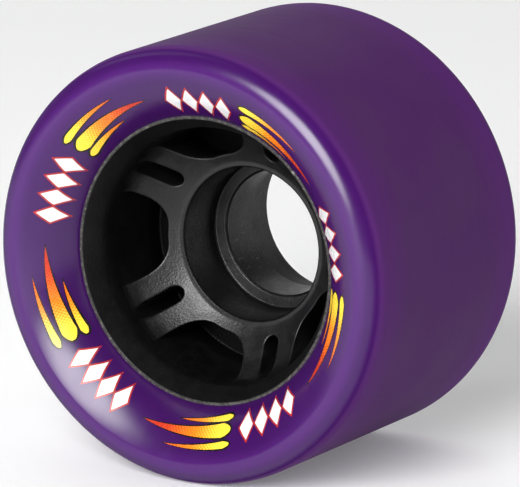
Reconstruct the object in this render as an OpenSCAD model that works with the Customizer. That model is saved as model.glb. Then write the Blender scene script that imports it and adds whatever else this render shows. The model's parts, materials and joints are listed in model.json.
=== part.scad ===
// Quad roller skate wheel: a cast polyurethane tyre on a moulded nylon hub, without bearings.
// Millimetres. The origin is the wheel's centre, Y runs along the axle, the outer face looks to -Y.

/* [Tyre] */
// diameter over the tread
tyre_d = 62; // [56:0.5:70]
// width over the tread
tyre_w = 41.6; // [37:0.2:47]
// radius of the edge between the sidewall and the tread
shoulder_r = 3.2; // [1:0.1:4.5]
// radius of the sidewall's slow bulge
sidewall_r = 16; // [13:1:60]

/* [Hub rim] */
// diameter where the tyre grips the hub
rim_d = 41; // [39:0.2:44]
// width of the hub from lip to lip
rim_w = 29.8; // [26:0.2:34]
// width of the flat edge of each lip
lip_w = 0.45; // [0.2:0.05:0.8]
// diameter of the straight wall inside the rim
wall_d = 36.6; // [35:0.2:38]
// depth of the front flare, from the lip to the straight wall
flare_depth = 3.1; // [1.5:0.1:5]

/* [Ribs under the tyre] */
// height of the ribs above the rim
rib_h = 1.8; // [0.8:0.1:3]
// width of a rib at its foot
rib_foot_w = 4; // [3:0.1:5.5]
// width of a rib at its top
rib_top_w = 2.6; // [1.6:0.1:3.8]
// distance between the two ribs, centre to centre
rib_pitch = 12; // [9:0.5:16]
// keys cut across each rib
key_n = 10; // [6:1:16]
// width of a key
key_w = 4; // [2:0.1:6]

/* [Bearing seats] */
// diameter of the bearings that press in
seat_d = 22; // [20:0.1:24]
// depth of the front seat
front_seat_l = 8.3; // [7:0.1:9.5]
// depth of the rear seat
rear_seat_l = 7.8; // [6.5:0.1:9]
// diameter of the passage between the seats
bore_d = 18.1; // [16:0.1:19.5]
// length of the passage between the seats
bore_l = 7.2; // [5:0.1:9]
// wall around the bearing seats
barrel_wall = 1.9; // [1.4:0.1:2.6]
// bevel at the mouth of each seat
mouth_bevel = 0.2; // [0.1:0.05:0.4]
// bevel in the corner at the bottom of each seat
seat_corner = 0.25; // [0.1:0.05:0.4]
// bevel at both ends of the passage
bore_bevel = 0.3; // [0.1:0.05:0.6]

/* [Spokes] */
// split spokes around the hub
spoke_n = 5; // [4:1:6]
// width over both legs of a split spoke
spoke_w = 8.7; // [7:0.1:10.5]
// width of the slot that splits a spoke
slot_w = 2.35; // [1.4:0.05:3.2]
// radius between a spoke and the barrel
window_r = 5; // [2:0.1:5.6]
// radius of the dish across the spokes' front
dish_r = 22.9; // [20.5:0.1:30]
// flat ring around the front seat's mouth
mouth_land = 0.55; // [0.2:0.05:1]
// thickness of the spokes where they meet the barrel
web_t = 5; // [3:0.1:7]
// thickness of the floor that closes the windows behind the spokes
floor_t = 3; // [1.5:0.1:5]
// ring left around the barrel inside the windows
collar_t = 0.3; // [0.1:0.05:0.8]

/* [Hidden] */
$fn = 120;
// how far spokes and floor run into the walls they stand on
root = 0.4;
// how far cutting shapes pass the faces they cut
past = 1;
// how far two round outlines run into each other where they meet
merge = 0.005;

tyre_r = tyre_d / 2;
half_w = tyre_w / 2;
rim_r = rim_d / 2;
half_rim = rim_w / 2;
wall_r = wall_d / 2;
seat_r = seat_d / 2;
bore_r = bore_d / 2;
barrel_r = seat_r + barrel_wall;

// places along the axle, the barrel's rear face being flush with the tyre
back = half_w;
rear_floor = back - rear_seat_l;
front_floor = rear_floor - bore_l;
front = front_floor - front_seat_l;
web_back = front + web_t;
floor_back = web_back + floor_t;

// the dish is part of a sphere that starts at the edge of the flat ring
land_r = seat_r + mouth_bevel + mouth_land;
dish_y = front - sqrt(pow(dish_r, 2) - pow(land_r, 2));

// the sidewall's bulge runs from the lip and leads smoothly into the shoulder
lip_at = [rim_r, -half_rim];
shoulder_at = [tyre_r - shoulder_r, shoulder_r - half_w];
chord = norm(shoulder_at - lip_at);
along = (shoulder_at - lip_at) / chord;
across = [-along[1], along[0]];
inner_r = sidewall_r - shoulder_r + merge;
foot = (pow(sidewall_r, 2) - pow(inner_r, 2) + pow(chord, 2)) / (2 * chord);
bulge_at = lip_at + foot * along + sqrt(pow(sidewall_r, 2) - pow(foot, 2)) * across;
blend_at = bulge_at + (shoulder_at - bulge_at) * sidewall_r / inner_r;

// a window's corner radius is held to what fits between two spokes
step = 360 / spoke_n;
leg_y = spoke_w / 2;
collar_r = barrel_r + collar_t;
fit_sin = sin(step / 2 - 0.5);
corner_r = min(window_r, (collar_r * fit_sin - leg_y) / (1 - fit_sin));
corner_y = leg_y + corner_r;
corner_x = sqrt(pow(collar_r + corner_r, 2) - pow(corner_y, 2));

module along_axle() {
  rotate([-90, 0, 0]) children();
}

module around(n) {
  for (i = [0 : n - 1]) rotate(i * 360 / n) children();
}

module both_ends() {
  children();
  mirror([0, 1]) children();
}

module sidewall_section() {
  intersection() {
    translate(bulge_at) circle(sidewall_r);
    translate([rim_r, -half_w]) square([blend_at[0] - rim_r, half_w + past]);
  }
  translate(shoulder_at) circle(shoulder_r);
}

module tyre_section() {
  inside = blend_at[0] - shoulder_r / 2;
  edge_y = shoulder_at[1];
  core_y = min(bulge_at[1], -past);
  both_ends() sidewall_section();
  polygon([[inside, edge_y], [tyre_r, edge_y], [tyre_r, -edge_y], [inside, -edge_y]]);
  polygon([[rim_r, core_y], [blend_at[0], core_y], [blend_at[0], -core_y], [rim_r, -core_y]]);
}

module rib_section() {
  translate([0, rib_pitch / 2]) polygon([
    [rim_r - root, -rib_foot_w / 2],
    [rim_r, -rib_foot_w / 2],
    [rim_r + rib_h, -rib_top_w / 2],
    [rim_r + rib_h, rib_top_w / 2],
    [rim_r, rib_foot_w / 2],
    [rim_r - root, rib_foot_w / 2]
  ]);
}

// ribs that the tyre is cast around, cut across so that it can't turn on the hub
module ribs() {
  difference() {
    rotate_extrude() both_ends() rib_section();
    around(key_n)
      translate([rim_r - past, -key_w / 2, -rib_pitch])
        cube([rib_h + 2 * past, key_w, 2 * rib_pitch]);
  }
}

module rim_section() {
  polygon([
    [rim_r, -half_rim],
    [rim_r - lip_w, -half_rim],
    [wall_r, flare_depth - half_rim],
    [wall_r, floor_back],
    [rim_r - lip_w, half_rim],
    [rim_r, half_rim]
  ]);
}

module seat_cut(floor_y, mouth_y) {
  out = mouth_y > floor_y ? 1 : -1;
  polygon([
    [0, floor_y],
    [seat_r - seat_corner, floor_y],
    [seat_r, floor_y + out * seat_corner],
    [seat_r, mouth_y - out * mouth_bevel],
    [seat_r + mouth_bevel, mouth_y],
    [seat_r + mouth_bevel, mouth_y + out * past],
    [0, mouth_y + out * past]
  ]);
}

module bore_cut() {
  polygon([
    [0, front_floor - past],
    [bore_r + bore_bevel, front_floor - past],
    [bore_r + bore_bevel, front_floor],
    [bore_r, front_floor + bore_bevel],
    [bore_r, rear_floor - bore_bevel],
    [bore_r + bore_bevel, rear_floor],
    [bore_r + bore_bevel, rear_floor + past],
    [0, rear_floor + past]
  ]);
}

module barrel_section() {
  difference() {
    translate([0, front]) square([barrel_r, back - front]);
    seat_cut(front_floor, front);
    seat_cut(rear_floor, back);
    bore_cut();
  }
}

module web_section() {
  difference() {
    translate([land_r, -half_rim]) square([wall_r + root - land_r, half_rim + web_back + root]);
    translate([0, dish_y]) circle(dish_r);
  }
}

module floor_section() {
  translate([barrel_r - root, web_back]) square([wall_r - barrel_r + 2 * root, floor_t]);
}

// one side of the opening between two spokes, round at the barrel and straight along the spoke
module window_side() {
  translate([corner_x, corner_y]) circle(corner_r);
  translate([corner_x, leg_y]) square([wall_r + past - corner_x, corner_r]);
}

// the middle of the opening, which ends at the ring around the barrel
module window_middle() {
  turn = step / 2 - atan2(corner_y, corner_x);
  from_axis = collar_r + corner_r;
  core = [from_axis * cos(turn), from_axis * sin(turn)];
  rim = 2 * wall_r * [cos(turn), sin(turn)];
  difference() {
    polygon([[0, 0], core, rim, [rim[0], -rim[1]], [core[0], -core[1]]]);
    circle(collar_r + merge);
  }
}

module window_outline() {
  window_side();
  rotate(step) mirror([0, 1]) window_side();
  rotate(step / 2) window_middle();
}

module slot_outline() {
  translate([collar_r + slot_w / 2, 0]) circle(slot_w / 2);
  translate([collar_r + slot_w / 2, -slot_w / 2]) square([wall_r - collar_r + past, slot_w]);
}

module spokes() {
  difference() {
    rotate_extrude() web_section();
    around(spoke_n)
      translate([0, 0, -half_rim - past])
        linear_extrude(rim_w + 2 * past) {
          window_outline();
          slot_outline();
        }
  }
}

module tyre() {
  color([0.31, 0.13, 0.47])
    along_axle()
      difference() {
        rotate_extrude() tyre_section();
        ribs();
      }
}

module hub() {
  color([0.08, 0.08, 0.09])
    along_axle() {
      rotate_extrude() rim_section();
      ribs();
      spokes();
      rotate_extrude() floor_section();
      rotate_extrude() barrel_section();
    }
}

tyre();
hub();
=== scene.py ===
"""A quad roller skate wheel: a glossy purple polyurethane tyre cast on a black nylon hub."""

import json
import math

import bmesh
import bpy
import numpy as np
from mathutils import Matrix, Vector


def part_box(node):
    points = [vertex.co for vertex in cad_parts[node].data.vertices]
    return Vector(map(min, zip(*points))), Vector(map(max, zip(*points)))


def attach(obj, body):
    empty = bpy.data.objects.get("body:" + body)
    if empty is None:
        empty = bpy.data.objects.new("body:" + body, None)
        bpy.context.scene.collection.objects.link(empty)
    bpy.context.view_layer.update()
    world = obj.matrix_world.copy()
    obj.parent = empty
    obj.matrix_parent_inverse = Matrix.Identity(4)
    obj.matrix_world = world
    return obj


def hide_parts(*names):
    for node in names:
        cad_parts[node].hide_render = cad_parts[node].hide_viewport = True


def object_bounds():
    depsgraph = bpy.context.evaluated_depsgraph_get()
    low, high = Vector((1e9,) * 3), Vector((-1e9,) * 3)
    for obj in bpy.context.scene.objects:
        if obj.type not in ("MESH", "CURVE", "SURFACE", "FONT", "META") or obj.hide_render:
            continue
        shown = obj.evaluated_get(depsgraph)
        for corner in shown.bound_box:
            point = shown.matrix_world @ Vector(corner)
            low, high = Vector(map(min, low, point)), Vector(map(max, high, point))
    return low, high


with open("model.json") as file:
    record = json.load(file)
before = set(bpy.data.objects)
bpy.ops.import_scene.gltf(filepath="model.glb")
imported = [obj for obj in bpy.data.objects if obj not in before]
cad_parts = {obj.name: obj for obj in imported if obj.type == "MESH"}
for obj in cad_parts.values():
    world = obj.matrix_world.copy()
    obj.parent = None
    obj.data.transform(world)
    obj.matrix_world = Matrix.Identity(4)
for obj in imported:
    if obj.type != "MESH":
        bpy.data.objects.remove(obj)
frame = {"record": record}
cad_low, cad_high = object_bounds()

MM = 0.001
mounts = {m["name"]: m for m in frame["record"]["mounts"]}

# sizes of the tyre, in metres: Y runs along the axle and the front looks to -Y
tyre_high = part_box("tyre")[1]
TYRE_R = tyre_high.x
HALF_W = tyre_high.y
SHOULDER_R = 3.2 * MM
# the photo's highlights show a tighter crest and a rounder bulge than the CAD's, by up to 0.16 mm
CREST_R = 1.2 * MM
SIDEWALL_R = 13 * MM

# sizes of the hub's rim
hub_low, hub_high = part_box("hub")
RIM_R = 20.5 * MM
HALF_RIM = -hub_low.y
LIP_W = 0.45 * MM
LIP_ROUND = 0.14 * MM
WALL_R = 18.3 * MM
FLARE_Y = 3.1 * MM - HALF_RIM
FLARE_ROUND = 0.7 * MM
FLOOR_ROUND = 0.4 * MM
# how far the spokes, corners and floor reach into what carries them
ROOT = 0.4 * MM
ROOT_ROUND = 0.1 * MM

# ribs under the tyre and the keys across them
RIB_TOP_R = RIM_R + 1.8 * MM
RIB_Y = 6 * MM
RIB_FOOT = 2 * MM
RIB_TOP = 1.3 * MM
KEY_COUNT = 10
KEY_HALF = 2 * MM

# the barrel, its bearing seats and the passage between them
SEAT_R = mounts["front_bearing_seat"]["dims"]["r_mm"] * MM
BORE_R = mounts["axle_passage"]["dims"]["r_mm"] * MM
BARREL_R = SEAT_R + 1.9 * MM
BARREL_ROUND = 0.3 * MM
BACK = hub_high.y
REAR_FLOOR = BACK - 7.8 * MM
FRONT_FLOOR = REAR_FLOOR - 7.2 * MM
FRONT = FRONT_FLOOR - 8.3 * MM
MOUTH_BEVEL = 0.2 * MM
REAR_BEVEL = 0.7 * MM
MOUTH_ROUND = 0.12 * MM
SEAT_CORNER = 0.25 * MM
BORE_BEVEL = 0.3 * MM
EDGE_ROUND = 0.06 * MM

# spokes
SPOKE_COUNT = 5
STEP = 2 * math.pi / SPOKE_COUNT
LEG_Y = 4.35 * MM
SLOT_HALF = 1.175 * MM
COLLAR_R = BARREL_R + 0.3 * MM
LAND_R = SEAT_R + MOUTH_BEVEL + 0.55 * MM
LAND_END = LAND_R + 0.6 * MM
LAND_ROUND = 0.25 * MM
DISH_R = 22.9 * MM
DISH_Y = FRONT - math.sqrt(DISH_R**2 - LAND_R**2)
WEB_BACK = FRONT + 5 * MM
WEB_END = WEB_BACK + ROOT
FLOOR_BACK = WEB_BACK + 3 * MM
FRONT_ROUND = 0.35 * MM
WALL_ROUND = 1.2 * MM
WINDOW_ROUND = 0.4 * MM
SLOT_ROUND = 0.9 * MM
# the round from a spoke's leg to the collar at the inner end of a window, its centre and where that lies
CORNER_R = 5 * MM
CORNER_Y = LEG_Y + CORNER_R
CORNER_X = math.sqrt((COLLAR_R + CORNER_R) ** 2 - CORNER_Y**2)
CORNER_TURN = math.atan2(CORNER_Y, CORNER_X)

# the print on the sidewall: rows of lozenges and tapered streaks that repeat around the axle
PRINT_COUNT = 5
PRINT_STEP = 2 * math.pi / PRINT_COUNT
PRINT_TOP = math.pi / 2
INK_DEPTH = 0.03 * MM
OUTLINE_LIFT = 0.01 * MM
FILL_LIFT = 0.022 * MM
OUTLINE_W = 0.28 * MM
LOZENGE_COUNT = 4
LOZENGE_PITCH = math.radians(6.6)
LOZENGE_R = 23.4 * MM
LOZENGE_HALF_W = 1.15 * MM
LOZENGE_HALF_H = 1.75 * MM
LOZENGE_TIP = 0.99
STREAK_HEAD = math.radians(52)
STREAK_LENGTH = math.radians(34)
STREAK_DRIFT = 0.5 * MM
# shares of a streak's length: its blunt ends and its round nose
STREAK_BLUNT = 0.002
STREAK_NOSE = 0.1
# powers by which a streak narrows to its nose and to its tail
NOSE_POWER = 0.5
TAIL_POWER = 0.8
# how many outline widths longer the outline is than the streak
OUTLINE_REACH = 3
# each streak's radius at its head, its half width and its share of the full length
STREAKS = ((23.3 * MM, 0.95 * MM, 1.0), (25.1 * MM, 0.5 * MM, 0.7), (21.8 * MM, 0.42 * MM, 0.62))

# how many points or rows the meshes have along each form
BULGE_POINTS = 22
CREST_POINTS = 6
SHOULDER_POINTS = 16
TREAD_POINTS = 26
KEY_POINTS = 12
RIB_POINTS = 28
RIM_ROUND_POINTS = 6
BARREL_ROUND_POINTS = 4
DISH_ROWS = 19
EDGE_ROWS = 7
SIDE_ROWS = 7
FLOOR_ROWS = 6
CORNER_ROWS = 11
CORNER_EDGE_POINTS = 6
FILM_POINTS = 9
LOZENGE_ROWS = 13
STREAK_ROWS = 40
# half a spoke's outline: the slot's end and side, the leg's end and side, the corner and the collar
OUTLINE_POINTS = (11, 10, 8, 8, 20, 6)
# degrees around the barrel at which the first four of these stretches end
OUTLINE_STOPS = (5.5, 8.5, 15, 18.5)
# power that crowds rows together toward a spoke's edge or a streak's head
CROWDING = 1.6

# meshing: points closer than this merge, steeper edges stay sharp and flatter rays count as this steep
MERGE_DISTANCE = 1e-7
SHARP_ANGLE = math.radians(38)
LEAST_SLOPE = 0.001

# linear colours of the tyre's sidewall and tread
PURPLE = (0.039, 0.0048, 0.084, 1)
PURPLE_CLOUD = (0.043, 0.0062, 0.091, 1)
# painted shade: the sidewall's colour darkens toward the lip
PURPLE_LIP_SHADE = (0.012, 0.002, 0.03, 1)
# painted sheen: a brighter purple that stands in for the crest's reflection
PURPLE_CREST_SHEEN = (0.073, 0.0125, 0.148, 1)
TREAD = (0.063, 0.013, 0.102, 1)
TREAD_CLOUD = (0.07, 0.0165, 0.11, 1)
TREAD_BLOOM = (0.071, 0.026, 0.097, 1)
TREAD_LINE = (0.073, 0.024, 0.105, 1)
TREAD_EDGE = (0.082, 0.0165, 0.136, 1)

# linear colours of the hub
NYLON = (0.004, 0.004, 0.0044, 1)
NYLON_MOTTLE = (0.008, 0.008, 0.0083, 1)
# painted glints: pale specks on the grain
NYLON_GLINT = (0.036, 0.036, 0.036, 1)
# painted shade for the windows, the seat's edges, the passage and the rim's flare
NYLON_SHADE = (0.0018, 0.0018, 0.002, 1)
NYLON_SCRATCH = (0.05, 0.048, 0.046, 1)
LIP_DARK = (0.015, 0.013, 0.012, 1)
LIP_PALE = (0.085, 0.08, 0.075, 1)
LIP_NICK = (0.24, 0.23, 0.22, 1)

# linear colours of the print, each plain one from dark to pale
WHITE_INK = ((0.68, 0.68, 0.7, 1), (0.75, 0.75, 0.76, 1))
RED_INK = ((0.33, 0.016, 0.014, 1), (0.4, 0.022, 0.018, 1))
BLACK_INK = ((0.006, 0.005, 0.006, 1), (0.011, 0.01, 0.011, 1))
FIERY_YELLOW = (0.93, 0.66, 0.05, 1)
FIERY_ORANGE = (0.85, 0.2, 0.012, 1)
FIERY_RED = (0.5, 0.03, 0.014, 1)

# how much noise is stretched: turning lines over y, angle and radius, scratches over angle and y
LINE_STRETCH = (2600, 1.2, 60)
SCRATCH_STRETCH = (26, 330)
# printed dots in radians of their wave, over the angle and over the radius in metres, and how far they mix
DOTS_AROUND = 300
DOTS_OUTWARD = 12600
DOTS_AMOUNT = 0.12
# how strongly the gloss of ink and of the ground tread reflects
INK_GLOSS = 0.45
TREAD_GLOSS = 0.035

# the photograph's camera
CAMERA_AZIMUTH = math.radians(31.32)
CAMERA_ELEVATION = math.radians(13.08)
CAMERA_DISTANCE = 0.88
CAMERA_LENS = 432.7
CAMERA_SENSOR = 36
CAMERA_SHIFT = (0.0008, -0.0054)

# the studio: a glowing pale floor and round soft lights
WHITE = (1, 1, 1, 1)
FLOOR_HALF = 4.0
FLOOR_COLOUR = (0.9, 0.9, 0.9, 1)
FLOOR_ROUGHNESS = 0.9
FLOOR_GLOW = 0.13
FRONT_LIGHT = (0.118, -0.888, 0.443)
# each light's name, direction from the wheel, distance and diameter in metres, and power in watts
LIGHTS = (
    ("front_softbox", FRONT_LIGHT, 1.4, 1.08, 17.8),
    ("front_key", FRONT_LIGHT, 1.38, 0.8, 13),
    ("right_fill", (0.93, 0.2, 0.3), 1.6, 1.5, 4.5),
    ("rear_softbox", (-0.45, 0.4, 0.8), 1.7, 2.4, 12),
)


def sidewall_circles():
    """Centres in (radius, y) of the bulge, which starts at the lip, and of the crest it runs into."""
    lip = Vector((RIM_R, -HALF_RIM))
    crest = Vector((TYRE_R - SHOULDER_R, CREST_R - HALF_W))
    chord = (crest - lip).length
    along = (crest - lip) / chord
    across = Vector((-along.y, along.x))
    inner = SIDEWALL_R - CREST_R
    foot = (SIDEWALL_R**2 - inner**2 + chord**2) / (2 * chord)
    return lip + along * foot + across * math.sqrt(SIDEWALL_R**2 - foot**2), crest


BULGE, CREST = sidewall_circles()


def arc(centre, radius, start, end, count):
    """Flat points on an arc around the centre, both ends included."""
    angles = np.linspace(start, end, count)
    return [(centre[0] + radius * math.cos(a), centre[1] + radius * math.sin(a)) for a in angles]


def rounded(corners, count):
    """A line of (radius, y) points along (radius, y, round) corners, from one sharp end to the other."""
    places = [Vector(corner[:2]) for corner in corners]
    line = [corners[0][:2]]
    for before, corner, after, (_, _, size) in zip(places, places[1:], places[2:], corners[1:]):
        into = (before - corner).normalized() * size
        out = (after - corner).normalized() * size
        for t in np.linspace(0, 1, count):
            line.append(tuple(corner + into * (1 - t) ** 2 + out * t**2))
    return line + [corners[-1][:2]]


def bend(start, corner, end, t):
    """The place at share t on the round that leaves start for the corner and turns to the end."""
    return start * (1 - t) ** 2 + corner * 2 * t * (1 - t) + end * t**2


def placed(name, data):
    """A new object in the scene."""
    made = bpy.data.objects.new(name, data)
    bpy.context.scene.collection.objects.link(made)
    return made


def object_from(name, vertices, faces):
    """A closed mesh object with outward normals, its doubled points merged and its faces smooth."""
    mesh = bpy.data.meshes.new(name)
    work = bmesh.new()
    made = [work.verts.new(v) for v in vertices]
    for face in faces:
        work.faces.new([made[i] for i in face])
    bmesh.ops.remove_doubles(work, verts=work.verts, dist=MERGE_DISTANCE)
    bmesh.ops.dissolve_degenerate(work, edges=work.edges, dist=MERGE_DISTANCE)
    bmesh.ops.recalc_face_normals(work, faces=work.faces)
    for face in work.faces:
        face.smooth = True
    for edge in work.edges:
        edge.smooth = edge.calc_face_angle(0.0) < SHARP_ANGLE
    work.to_mesh(mesh)
    work.free()
    return placed(name, mesh)


def band_faces(first, second, around):
    """Faces between two closed rows of points that start at the given places in the list."""
    faces = []
    for j in range(around):
        k = (j + 1) % around
        faces.append((first + j, second + j, second + k, first + k))
    return faces


def ring_mesh(rows):
    """Points and faces of a ring: rows of points around the axle, the last row joined to the first."""
    rows = np.asarray(rows, float)
    count, around = rows.shape[:2]
    faces = []
    for i in range(count):
        faces += band_faces(i * around, (i + 1) % count * around, around)
    return rows.reshape(-1, 3), faces


def bar_mesh(rows):
    """Points and faces of a bar: closed rows of points in line, with a cap at each end."""
    rows = np.asarray(rows, float)
    count, around = rows.shape[:2]
    faces = []
    for first in (0, (count - 1) * around):
        last = first + around - 1
        for j in range((around - 1) // 2):
            corners = (first + j, first + j + 1, last - j - 1, last - j)
            faces.append(tuple(dict.fromkeys(corners)))
    for i in range(count - 1):
        faces += band_faces(i * around, (i + 1) * around, around)
    return rows.reshape(-1, 3), faces


def joined(parts):
    """Several point and face lists as one."""
    vertices, faces, start = [], [], 0
    for some_vertices, some_faces in parts:
        vertices.extend(some_vertices)
        faces.extend(tuple(i + start for i in face) for face in some_faces)
        start += len(some_vertices)
    return vertices, faces


def rib_columns():
    """Angles around the rim, each with whether the rib stands there and which side of a key it is."""
    columns = []
    key_angle = 2 * math.pi / KEY_COUNT
    side = math.asin(KEY_HALF / RIM_R)
    for k in range(KEY_COUNT):
        middle = k * key_angle
        for a in np.linspace(-side, side, KEY_POINTS):
            columns.append((middle + a, False, 0))
        columns.append((middle, True, 1))
        for a in np.linspace(side, key_angle - side, RIB_POINTS)[1:-1]:
            columns.append((middle + a, True, 0))
        columns.append((middle + key_angle, True, -1))
    return columns


RIM_COLUMNS = rib_columns()


def rim_row(radius, y, rib_radius=None):
    """One row of points around the rim, out to rib_radius where a rib stands."""
    row = []
    for angle, on_rib, key_side in RIM_COLUMNS:
        r = rib_radius if on_rib and rib_radius else radius
        if key_side:
            angle = angle + key_side * math.asin(KEY_HALF / (r if rib_radius else RIM_R))
        row.append((r * math.cos(angle), y, r * math.sin(angle)))
    return row


def rib_rows():
    """Rows of the face between hub and tyre, from the rear to the front."""
    rows = []
    for middle in (RIB_Y, -RIB_Y):
        rows.append(rim_row(RIM_R, middle + RIB_FOOT))
        rows.append(rim_row(RIM_R, middle + RIB_TOP, RIB_TOP_R))
        rows.append(rim_row(RIM_R, middle - RIB_TOP, RIB_TOP_R))
        rows.append(rim_row(RIM_R, middle - RIB_FOOT))
    return rows


def make_tyre():
    """The tyre, cast around the hub's ribs."""
    lip_angle = math.atan2(-HALF_RIM - BULGE.y, RIM_R - BULGE.x)
    blend_angle = math.atan2(CREST.y - BULGE.y, CREST.x - BULGE.x)
    shoulder_y = SHOULDER_R - HALF_W
    front = arc(BULGE, SIDEWALL_R, lip_angle, blend_angle, BULGE_POINTS)
    front += arc(CREST, CREST_R, blend_angle, -math.pi / 2, CREST_POINTS)[1:]
    front += arc((CREST.x, shoulder_y), SHOULDER_R, -math.pi / 2, 0, SHOULDER_POINTS)[1:]
    tread = [(TYRE_R, y) for y in np.linspace(shoulder_y, -shoulder_y, TREAD_POINTS)[1:-1]]
    rear = [(r, -y) for r, y in reversed(front)]
    rows = [rim_row(r, y) for r, y in front + tread + rear]
    return object_from("tyre_cast", *ring_mesh(rows + rib_rows()))


def make_rim():
    """Points and faces of the hub's rim with its lips, flares and ribs, and of the floor inside it."""
    corners = [
        (RIM_R, -HALF_RIM),
        (RIM_R - LIP_W, -HALF_RIM, LIP_ROUND),
        (WALL_R, FLARE_Y, FLARE_ROUND),
        (WALL_R, WEB_BACK, FLOOR_ROUND),
        (BARREL_R - ROOT, WEB_BACK, ROOT_ROUND),
        (BARREL_R - ROOT, FLOOR_BACK, ROOT_ROUND),
        (WALL_R, FLOOR_BACK, FLOOR_ROUND),
        (RIM_R - LIP_W, HALF_RIM, LIP_ROUND),
        (RIM_R, HALF_RIM),
    ]
    rows = [rim_row(r, y) for r, y in rounded(corners, RIM_ROUND_POINTS)]
    return ring_mesh(rows + rib_rows())


def spoke_outline(inset):
    """Outline of half a spoke from its slot to the middle of a window, moved into the spoke by inset."""
    slot = SLOT_HALF + inset
    leg = LEG_Y - inset
    end_r = WALL_R + ROOT - inset
    slot_x = COLLAR_R + SLOT_HALF
    slot_end_x = math.sqrt(end_r**2 - slot**2)
    leg_end_x = math.sqrt(end_r**2 - leg**2)
    slot_end, slot_side, leg_end, leg_side, corner, collar = OUTLINE_POINTS
    stretches = (
        arc((slot_x, 0), slot, math.pi, math.pi / 2, slot_end),
        [(x, slot) for x in np.linspace(slot_x, slot_end_x, slot_side)],
        arc((0, 0), end_r, math.asin(slot / end_r), math.asin(leg / end_r), leg_end),
        [(x, leg) for x in np.linspace(leg_end_x, CORNER_X, leg_side)],
        arc((CORNER_X, CORNER_Y), CORNER_R + inset, -math.pi / 2, CORNER_TURN - math.pi, corner),
    )
    points = [point for stretch in stretches for point in stretch[:-1]]
    return np.array(points + arc((0, 0), COLLAR_R - inset, CORNER_TURN, STEP / 2, collar))


def turned(flat, turn):
    """Flat (x, z) points turned around the axle."""
    rotation = np.array([[math.cos(turn), math.sin(turn)], [-math.sin(turn), math.cos(turn)]])
    return flat @ rotation


def all_spokes(half):
    """The half spoke's points mirrored and turned to run once around the axle."""
    mirrored = half[1:-1][::-1] * (1, -1)
    points = []
    for k in range(SPOKE_COUNT):
        points += [turned(half, k * STEP), turned(mirrored, (k + 1) * STEP)]
    return np.vstack(points)


def column_angles():
    """Angles at which the spokes' columns of points leave the barrel, one for each point of the outline."""
    stops = [0, *OUTLINE_STOPS, math.degrees(CORNER_TURN), math.degrees(STEP / 2)]
    spans = zip(stops, stops[1:], OUTLINE_POINTS)
    degrees = [np.linspace(start, end, count)[:-1] for start, end, count in spans]
    half = np.radians(np.concatenate([*degrees, stops[-1:]]))
    mirrored = half[1:-1][::-1]
    angles = []
    for k in range(SPOKE_COUNT):
        angles += [k * STEP + half, (k + 1) * STEP - mirrored]
    return np.concatenate(angles)


def dish(radius):
    """Where the dished front of the spokes lies along the axle, with its rise to the rim's wall."""
    into_round = np.clip(radius - (WALL_R - WALL_ROUND), 0, WALL_ROUND)
    rise = WALL_ROUND - np.sqrt(WALL_ROUND**2 - into_round**2)
    return DISH_Y + np.sqrt(DISH_R**2 - radius**2) - rise


def level(flat, y):
    """Flat (x, z) points with their place along the axle."""
    return np.column_stack([flat[:, 0], np.broadcast_to(y, len(flat)), flat[:, 1]])


def on_dish(flat):
    """Flat (x, z) points laid on the dished front."""
    return level(flat, dish(np.linalg.norm(flat, axis=1)))


def front_line():
    """The barrel's (radius, y) line from the passage along the front seat to the dished front."""
    corners = [
        (BORE_R, REAR_FLOOR - BORE_BEVEL),
        (BORE_R, FRONT_FLOOR + BORE_BEVEL, EDGE_ROUND),
        (BORE_R + BORE_BEVEL, FRONT_FLOOR, EDGE_ROUND),
        (SEAT_R - SEAT_CORNER, FRONT_FLOOR, EDGE_ROUND),
        (SEAT_R, FRONT_FLOOR - SEAT_CORNER, EDGE_ROUND),
        (SEAT_R, FRONT + MOUTH_BEVEL, MOUTH_ROUND),
        (SEAT_R + MOUTH_BEVEL, FRONT, MOUTH_ROUND),
        (LAND_R, FRONT, LAND_ROUND),
        (LAND_END, dish(LAND_END)),
    ]
    return rounded(corners, BARREL_ROUND_POINTS)


def rear_line():
    """The barrel's (radius, y) line from its outside around the rear seat to the passage."""
    corners = [
        (BARREL_R, WEB_END),
        (BARREL_R, BACK, BARREL_ROUND),
        (SEAT_R + REAR_BEVEL, BACK, MOUTH_ROUND),
        (SEAT_R, BACK - REAR_BEVEL, MOUTH_ROUND),
        (SEAT_R, REAR_FLOOR + SEAT_CORNER, EDGE_ROUND),
        (SEAT_R - SEAT_CORNER, REAR_FLOOR, EDGE_ROUND),
        (BORE_R + BORE_BEVEL, REAR_FLOOR, EDGE_ROUND),
        (BORE_R, REAR_FLOOR - BORE_BEVEL),
    ]
    return rounded(corners, BARREL_ROUND_POINTS)


def make_web():
    """Points and faces of the barrel and the split spokes around it."""
    angles = column_angles()
    around = np.column_stack([np.cos(angles), np.sin(angles)])
    rows = [level(around * r, y) for r, y in front_line()]
    # the dished front, out to the rounded edge of the spokes
    edge = all_spokes(spoke_outline(0))
    inner = all_spokes(spoke_outline(FRONT_ROUND))
    for t in 1 - np.linspace(1, 0, DISH_ROWS)[1:-1] ** CROWDING:
        rows.append(on_dish(around * LAND_END * (1 - t) + inner * t))
    side = on_dish(edge) + (0, FRONT_ROUND, 0)
    for t in np.linspace(0, 1, EDGE_ROWS):
        rows.append(bend(on_dish(inner), on_dish(edge), side, t))
    # the sides of the spokes, which end inside the floor, and the barrel with its rear seat
    for t in np.linspace(0, 1, SIDE_ROWS)[1:]:
        rows.append(side * (1 - t) + level(edge, WEB_END) * t)
    for t in np.linspace(0, 1, FLOOR_ROWS)[1:-1]:
        rows.append(level(edge * (1 - t) + around * BARREL_R * t, WEB_END))
    rows += [level(around * r, y) for r, y in rear_line()[:-1]]
    return ring_mesh(rows)


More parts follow.
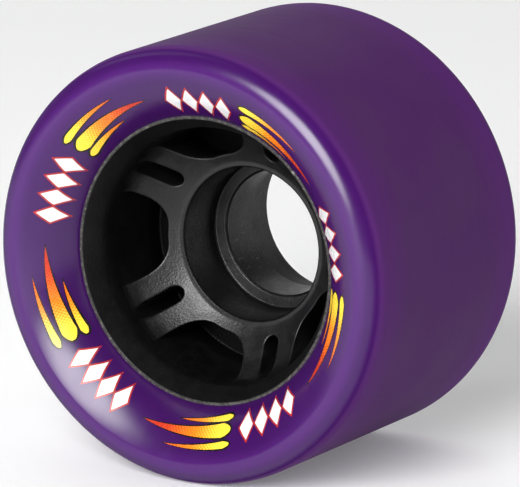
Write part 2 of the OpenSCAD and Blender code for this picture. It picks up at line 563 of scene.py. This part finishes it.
def corner_rows(centre, radius, start, end, turn):
    """Rows of a moulded corner that rounds the outer end of an opening, from start to end angle."""
    centre = Vector(centre)
    rows = []
    for a in np.linspace(start, end, CORNER_ROWS):
        ray = Vector((math.cos(a), math.sin(a)))
        along = centre.dot(ray)
        to_rim = math.sqrt(along**2 + (WALL_R + ROOT) ** 2 - centre.length_squared) - along
        to_leg = (radius + ROOT) / max(abs(ray.y), LEAST_SLOPE)
        lengths = (min(to_rim, to_leg), radius + FRONT_ROUND, radius)
        flat = [(centre + ray * length) @ Matrix.Rotation(turn, 2) for length in lengths]
        far, top, edge = [Vector((p.x, dish(p.length), p.y)) for p in flat]
        side = edge + Vector((0, FRONT_ROUND, 0))
        over_edge = [bend(top, edge, side, t) for t in np.linspace(0, 1, CORNER_EDGE_POINTS)]
        feet = [Vector((p.x, WEB_END, p.z)) for p in (side, far)]
        rows.append([far, *over_edge, *feet])
    return rows


def make_corners():
    """Points and faces of the corners that round the windows and slots at the rim."""
    # each kind's radius, the place of its centre across the spoke and the direction to the leg
    kinds = (
        (WINDOW_ROUND, LEG_Y + WINDOW_ROUND, -math.pi / 2),
        (SLOT_ROUND, SLOT_HALF - SLOT_ROUND, math.pi / 2),
    )
    corners = []
    for k in range(SPOKE_COUNT):
        for radius, centre_y, to_leg in kinds:
            centre_x = math.sqrt((WALL_R - radius) ** 2 - centre_y**2)
            to_rim = math.atan2(centre_y, centre_x)
            for side in (1, -1):
                centre = (centre_x, side * centre_y)
                corners.append(corner_rows(centre, radius, side * to_rim, side * to_leg, -k * STEP))
    return joined([bar_mesh(rows) for rows in corners])


def make_hub():
    """The moulded hub: rim, ribs, spokes and barrel."""
    return object_from("hub_core", *joined([make_rim(), make_web(), make_corners()]))


def on_sidewall(angle, radius, lift):
    """A point over the front sidewall, lifted along its normal."""
    lean = (radius - BULGE.x) / SIDEWALL_R
    reach = SIDEWALL_R + lift
    r = BULGE.x + lean * reach
    return r * math.cos(angle), BULGE.y - math.sqrt(1 - lean**2) * reach, r * math.sin(angle)


def film(rows, lift):
    """Points and faces of a thin film of ink: each row runs between two (angle, radius) places."""
    sections = []
    for start, end in rows:
        line = [np.array(start) * (1 - t) + np.array(end) * t for t in np.linspace(0, 1, FILM_POINTS)]
        top = [on_sidewall(angle, radius, lift) for angle, radius in line]
        under = [on_sidewall(angle, radius, -INK_DEPTH) for angle, radius in reversed(line)]
        sections.append(top + under)
    return bar_mesh(sections)


def lozenge_rows(middle, grow):
    """Rows of one lozenge, made larger by grow."""
    half_angle = (LOZENGE_HALF_W + grow) / LOZENGE_R
    half_height = LOZENGE_HALF_H + grow * LOZENGE_HALF_H / LOZENGE_HALF_W
    rows = []
    for t in np.linspace(-LOZENGE_TIP, LOZENGE_TIP, LOZENGE_ROWS):
        angle = middle + half_angle * t
        half = half_height * (1 - abs(t))
        rows.append(((angle, LOZENGE_R - half), (angle, LOZENGE_R + half)))
    return rows


def streak_rows(head, start_r, half_w, share, grow):
    """Rows of one streak with a round head and a long tail that drifts outward."""
    margin = grow / start_r
    length = STREAK_LENGTH * share + OUTLINE_REACH * margin
    rows = []
    for t in np.linspace(0, 1, STREAK_ROWS) ** CROWDING:
        s = min(max(t, STREAK_BLUNT), 1 - STREAK_BLUNT)
        angle = head + margin - length * s
        radius = start_r + STREAK_DRIFT * s
        half = (half_w + grow) * min(1, s / STREAK_NOSE) ** NOSE_POWER * (1 - s) ** TAIL_POWER
        rows.append(((angle, radius - half), (angle, radius + half)))
    return rows


def make_print():
    """The sidewall's print: white lozenges edged in red and fiery streaks edged in black."""
    lozenges, lozenge_edges, streaks, streak_edges = [], [], [], []
    for k in range(PRINT_COUNT):
        place = PRINT_TOP + k * PRINT_STEP
        for i in range(LOZENGE_COUNT):
            middle = place + (i - LOZENGE_COUNT / 2) * LOZENGE_PITCH
            lozenges.append(film(lozenge_rows(middle, 0), FILL_LIFT))
            lozenge_edges.append(film(lozenge_rows(middle, OUTLINE_W), OUTLINE_LIFT))
        for start_r, half_w, share in STREAKS:
            head = place + STREAK_HEAD
            streaks.append(film(streak_rows(head, start_r, half_w, share, 0), FILL_LIFT))
            streak_edges.append(film(streak_rows(head, start_r, half_w, share, OUTLINE_W), OUTLINE_LIFT))
    inks = (
        ("print_lozenges", lozenges, ink("white_ink", *WHITE_INK)),
        ("print_lozenge_edges", lozenge_edges, ink("red_ink", *RED_INK)),
        ("print_streaks", streaks, fiery_ink()),
        ("print_streak_edges", streak_edges, ink("black_ink", *BLACK_INK)),
    )
    for name, films, material in inks:
        piece = object_from(name, *joined(films))
        piece.data.materials.append(material)
        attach(piece, "root")


class Nodes:
    """Short calls for building the nodes of one material or world."""

    def __init__(self, owner, shader="Principled BSDF"):
        self.owner = owner
        owner.use_nodes = True
        self.tree = owner.node_tree
        self.shader = self.tree.nodes[shader]

    def add(self, kind, **settings):
        node = self.tree.nodes.new(kind)
        for key, value in settings.items():
            setattr(node, key, value)
        return node

    def feed(self, value, socket):
        """Links a socket's value, or sets a plain one."""
        if isinstance(value, bpy.types.NodeSocket):
            self.tree.links.new(value, socket)
        else:
            socket.default_value = value

    def set(self, name, value):
        """Feeds one of the shader's own sockets."""
        self.feed(value, self.shader.inputs[name])

    def math(self, operation, a, b=0.0):
        node = self.add("ShaderNodeMath", operation=operation)
        self.feed(a, node.inputs[0])
        self.feed(b, node.inputs[1])
        return node.outputs[0]

    def ramp(self, value, low, high, to_low=0.0, to_high=1.0, kind="SMOOTHSTEP"):
        """Runs from to_low at low to to_high at high."""
        node = self.add("ShaderNodeMapRange", interpolation_type=kind)
        self.feed(value, node.inputs["Value"])
        self.feed(low, node.inputs["From Min"])
        self.feed(high, node.inputs["From Max"])
        self.feed(to_low, node.inputs["To Min"])
        self.feed(to_high, node.inputs["To Max"])
        return node.outputs[0]

    def band(self, value, low, high, soft, amount):
        """Up to amount between low and high, fading to nothing over the soft length outside."""
        rise = self.ramp(value, low - soft, low, 0.0, amount)
        return self.math("MULTIPLY", rise, self.ramp(value, high + soft, high))

    def mix(self, factor, a, b):
        node = self.add("ShaderNodeMix", data_type="RGBA")
        self.feed(factor, node.inputs["Factor"])
        self.feed(a, node.inputs["A"])
        self.feed(b, node.inputs["B"])
        return node.outputs["Result"]

    def noise(self, vector, scale, detail=2.0, roughness=0.5):
        node = self.add("ShaderNodeTexNoise")
        self.feed(vector, node.inputs["Vector"])
        self.feed(scale, node.inputs["Scale"])
        self.feed(detail, node.inputs["Detail"])
        self.feed(roughness, node.inputs["Roughness"])
        return node.outputs["Fac"]

    def bump(self, height, distance, under=None):
        """A normal raised by the height, over the normal of another bump where one is given."""
        node = self.add("ShaderNodeBump")
        self.feed(height, node.inputs["Height"])
        self.feed(distance, node.inputs["Distance"])
        if under is not None:
            self.feed(under, node.inputs["Normal"])
        return node.outputs["Normal"]

    def split(self, vector):
        node = self.add("ShaderNodeSeparateXYZ")
        self.feed(vector, node.inputs[0])
        return node.outputs

    def stretched(self, parts, scales):
        """A vector of the parts, each times its scale."""
        node = self.add("ShaderNodeCombineXYZ")
        for part, scale, socket in zip(parts, scales, node.inputs):
            self.feed(self.math("MULTIPLY", part, scale), socket)
        return node.outputs[0]

    def place(self):
        """The point on the object, its distance from the axle, its angle and its place along the axle."""
        point = self.add("ShaderNodeTexCoord").outputs["Object"]
        x, y, z = self.split(point)
        square = self.math("ADD", self.math("MULTIPLY", x, x), self.math("MULTIPLY", z, z))
        return point, self.math("SQRT", square), self.math("ARCTAN2", z, x), y


def sidewall_colour(n, radius, cloud):
    """Clouded purple, with painted shade darkening it toward the lip and a painted sheen brightening the
    crest.
    """
    colour = n.mix(n.ramp(cloud, 0.3, 0.7), PURPLE, PURPLE_CLOUD)
    # painted shade that darkens the sidewall toward the lip
    lip_shade = n.ramp(radius, RIM_R, RIM_R + 5.5 * MM, 0.16, 0.0)
    colour = n.mix(lip_shade, colour, PURPLE_LIP_SHADE)
    # painted sheen: the crest is brightened in the colour, standing in for a reflection on it
    rise = n.ramp(radius, TYRE_R - 5 * MM, TYRE_R - 3 * MM, 0.0, 0.55)
    fall = n.ramp(radius, TYRE_R - 1.3 * MM, TYRE_R - 2.6 * MM, 0.1, 1.0)
    return n.mix(n.math("MULTIPLY", rise, fall), colour, PURPLE_CREST_SHEEN)


def tread_colour(n, point, y, cloud, lines):
    """Dusty, finely lined purple, less dusty toward the tread's two edges."""
    colour = n.mix(n.ramp(cloud, 0.25, 0.75), TREAD, TREAD_CLOUD)
    bloom = n.ramp(n.noise(point, scale=75), 0.42, 0.62, 0.0, 0.5)
    colour = n.mix(bloom, colour, TREAD_BLOOM)
    colour = n.mix(n.ramp(lines, 0.35, 0.75), colour, TREAD_LINE)
    edge = n.ramp(n.math("ABSOLUTE", y), 10 * MM, 17 * MM, 0.0, 0.8)
    return n.mix(edge, colour, TREAD_EDGE)


def tyre_gloss(n, radius, ground):
    """How strongly the tyre reflects: less on the outer shoulder, at a slant and on the tread."""
    gloss = n.ramp(radius, TYRE_R - 1.2 * MM, TYRE_R - 0.5 * MM, 0.45, 0.02)
    slant = n.add("ShaderNodeLayerWeight").outputs["Facing"]
    gloss = n.math("MULTIPLY", gloss, n.ramp(slant, 0.3, 0.7, 1.0, 0.1))
    return n.math("ADD", gloss, n.math("MULTIPLY", ground, TREAD_GLOSS))


def polyurethane():
    """Purple cast polyurethane: glossy sidewalls, and a tread ground to a duller, finely lined satin."""
    n = Nodes(bpy.data.materials.new("purple_polyurethane"))
    point, radius, angle, y = n.place()
    ground = n.ramp(radius, TYRE_R - 0.55 * MM, TYRE_R - 0.12 * MM)
    cloud = n.noise(point, scale=90, detail=3)
    lines = n.noise(n.stretched((y, angle, radius), LINE_STRETCH), scale=1, detail=3, roughness=0.6)
    side = sidewall_colour(n, radius, cloud)
    n.set("Base Color", n.mix(ground, side, tread_colour(n, point, y, cloud, lines)))
    n.set("Specular IOR Level", tyre_gloss(n, radius, ground))
    smear = n.noise(point, scale=260)
    smooth = n.math("MULTIPLY", n.ramp(smear, 0.3, 0.75, 0.2, 0.25), n.math("SUBTRACT", 1.0, ground))
    satin = n.math("MULTIPLY", n.ramp(lines, 0.3, 0.8, 0.5, 0.62), ground)
    n.set("Roughness", n.math("ADD", smooth, satin))
    lined = n.bump(n.math("MULTIPLY", lines, ground), 0.02 * MM)
    n.set("Normal", n.bump(smear, 0.002 * MM, under=lined))
    return n.owner


def ink_finish(n, point):
    """Roughness and bump of a printed film on the gloss of the tyre."""
    n.set("Specular IOR Level", INK_GLOSS)
    wear = n.noise(point, scale=900, detail=3)
    n.set("Roughness", n.ramp(wear, 0.3, 0.7, 0.22, 0.32))
    n.set("Normal", n.bump(wear, 0.004 * MM))


def ink(name, dark, pale):
    """One printed colour with faint unevenness."""
    n = Nodes(bpy.data.materials.new(name))
    point = n.place()[0]
    uneven = n.ramp(n.noise(point, scale=500, detail=3), 0.35, 0.65)
    n.set("Base Color", n.mix(uneven, dark, pale))
    ink_finish(n, point)
    return n.owner


def fiery_ink():
    """Yellow at the streaks' heads, through orange to red at their tails, mixed by printed dots."""
    n = Nodes(bpy.data.materials.new("fiery_ink"))
    point, radius, angle = n.place()[:3]
    rays = n.math("SINE", n.math("MULTIPLY", angle, DOTS_AROUND))
    rings = n.math("SINE", n.math("MULTIPLY", radius, DOTS_OUTWARD))
    dots = n.math("MULTIPLY", n.math("MULTIPLY", rays, rings), DOTS_AMOUNT)
    from_head = n.math("SUBTRACT", PRINT_TOP + STREAK_HEAD, angle)
    turn = n.math("FRACT", n.math("DIVIDE", from_head, PRINT_STEP))
    along = n.math("ADD", n.math("MULTIPLY", turn, PRINT_STEP / STREAK_LENGTH), dots)
    warm = n.mix(n.ramp(along, 0.12, 0.42), FIERY_YELLOW, FIERY_ORANGE)
    n.set("Base Color", n.mix(n.ramp(along, 0.4, 0.8), warm, FIERY_RED))
    ink_finish(n, point)
    return n.owner


def hub_shade(n, radius, y):
    """How much painted shade darkens a place: the windows, the edges of the seat, the passage and the rim's
    flare.
    """
    window = n.math("MULTIPLY", n.ramp(y, -4 * MM, 1 * MM), n.ramp(radius, BARREL_R, COLLAR_R))
    passage = n.ramp(radius, BORE_R + 0.4 * MM, BORE_R + 0.1 * MM, 0.0, 0.55)
    seat = n.band(radius, SEAT_R - 0.15 * MM, SEAT_R + MOUTH_BEVEL, 0.1 * MM, 0.75)
    flare = n.band(radius, WALL_R - 0.1 * MM, RIM_R - LIP_W, 0.2 * MM, 0.6)
    hollow = n.math("MAXIMUM", window, passage)
    return n.math("MAXIMUM", hollow, n.math("MAXIMUM", seat, flare))


def passage_scratches(n, radius, angle, y):
    """Where sparse scratches run along the axle on the wall of the passage."""
    streak = n.noise(n.stretched((angle, y), SCRATCH_STRETCH), scale=1, detail=3, roughness=0.7)
    wall = n.ramp(radius, BORE_R + 0.4 * MM, BORE_R + 0.1 * MM)
    return n.math("MULTIPLY", n.ramp(streak, 0.58, 0.72), wall)


def lip_colour(n, point):
    """The front lip, rubbed to a speckled grey line with small pale nicks."""
    speckle = n.ramp(n.noise(point, scale=2400, detail=3, roughness=0.7), 0.42, 0.68)
    nick = n.ramp(n.noise(point, scale=600, roughness=0.7), 0.63, 0.74)
    return n.mix(nick, n.mix(speckle, LIP_DARK, LIP_PALE), LIP_NICK)


def nylon():
    """Satin black moulded nylon with a fine grain carrying painted glints, painted shade in its hollows, a
    scratched passage and a rubbed lip.
    """
    n = Nodes(bpy.data.materials.new("black_nylon"))
    point, radius, angle, y = n.place()
    grain = n.noise(point, scale=3000, roughness=0.6)
    mottle = n.noise(point, scale=420, detail=4, roughness=0.6)
    shade = hub_shade(n, radius, y)
    colour = n.mix(n.ramp(mottle, 0.35, 0.7), NYLON, NYLON_MOTTLE)
    # painted glints: pale specks where the grain is high stand in for its sparkle under the light
    colour = n.mix(n.ramp(grain, 0.6, 0.78, 0.0, 0.7), colour, NYLON_GLINT)
    # painted shade darkens the hollows of the hub
    colour = n.mix(shade, colour, NYLON_SHADE)
    colour = n.mix(passage_scratches(n, radius, angle, y), colour, NYLON_SCRATCH)
    outer = n.ramp(radius, RIM_R - LIP_W, RIM_R - LIP_W + 0.12 * MM)
    on_lip = n.math("MULTIPLY", outer, n.ramp(y, 0.2 * MM - HALF_RIM, 0.05 * MM - HALF_RIM))
    n.set("Base Color", n.mix(on_lip, colour, lip_colour(n, point)))
    n.set("Specular IOR Level", n.ramp(shade, 0.0, 1.0, 0.52, 0.08, kind="LINEAR"))
    n.set("Roughness", n.ramp(mottle, 0.25, 0.75, 0.32, 0.45))
    coarse = n.bump(mottle, 0.02 * MM)
    n.set("Normal", n.bump(grain, 0.045 * MM, under=coarse))
    return n.owner


def dress(piece, material, node):
    """Gives a piece its material and its place in the frame, and hides the CAD node that it stands for."""
    piece.data.materials.append(material)
    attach(piece, "root")
    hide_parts(node)


def looking_back(direction, distance):
    """The place that lies in a direction from the wheel's centre, turned to face it."""
    turn = direction.to_track_quat("Z", "Y").to_matrix().to_4x4()
    return Matrix.Translation(direction * distance) @ turn


def make_camera():
    """The camera, placed as the photograph's was."""
    data = bpy.data.cameras.new("photo_camera")
    data.lens = CAMERA_LENS
    data.sensor_width = CAMERA_SENSOR
    data.shift_x, data.shift_y = CAMERA_SHIFT
    camera = placed("photo_camera", data)
    a, e = CAMERA_AZIMUTH, CAMERA_ELEVATION
    direction = Vector((math.sin(a) * math.cos(e), -math.cos(a) * math.cos(e), math.sin(e)))
    camera.matrix_world = looking_back(direction, CAMERA_DISTANCE)
    bpy.context.scene.camera = camera


def make_floor():
    """The plain pale floor that the wheel stands on."""
    n = Nodes(bpy.data.materials.new("pale_floor"))
    n.set("Base Color", FLOOR_COLOUR)
    n.set("Roughness", FLOOR_ROUGHNESS)
    n.set("Emission Color", WHITE)
    n.set("Emission Strength", FLOOR_GLOW)
    corners = [(FLOOR_HALF * x, FLOOR_HALF * y, 0) for x, y in ((-1, -1), (1, -1), (1, 1), (-1, 1))]
    mesh = bpy.data.meshes.new("studio_floor")
    mesh.from_pydata(corners, [], [(0, 1, 2, 3)])
    mesh.materials.append(n.owner)
    floor = placed("studio_floor", mesh)
    floor.location.z = cad_low.z


def make_light(name, direction, distance, diameter, power):
    """A round soft light that faces the wheel from the given direction."""
    data = bpy.data.lights.new(name, "AREA")
    data.shape = "DISK"
    data.size = diameter
    data.energy = power
    placed(name, data).matrix_world = looking_back(Vector(direction).normalized(), distance)


def make_world():
    """A dim studio, palest at the foot of its rear wall."""
    world = bpy.data.worlds.new("studio")
    n = Nodes(world, "Background")
    _, y, z = n.split(n.add("ShaderNodeTexCoord").outputs["Generated"])
    rear = n.ramp(y, -0.1, 0.9, 0.1, 1.0)
    low = n.ramp(z, 0.5, 0.12, 0.15, 0.95)
    n.set("Color", WHITE)
    n.set("Strength", n.math("MULTIPLY", rear, low))
    bpy.context.scene.world = world


make_camera()
make_floor()
make_world()
for light in LIGHTS:
    make_light(*light)
tyre = make_tyre()
hub = make_hub()
dress(tyre, polyurethane(), "tyre")
dress(hub, nylon(), "hub")
make_print()
bpy.context.scene.view_settings.view_transform = "Standard"
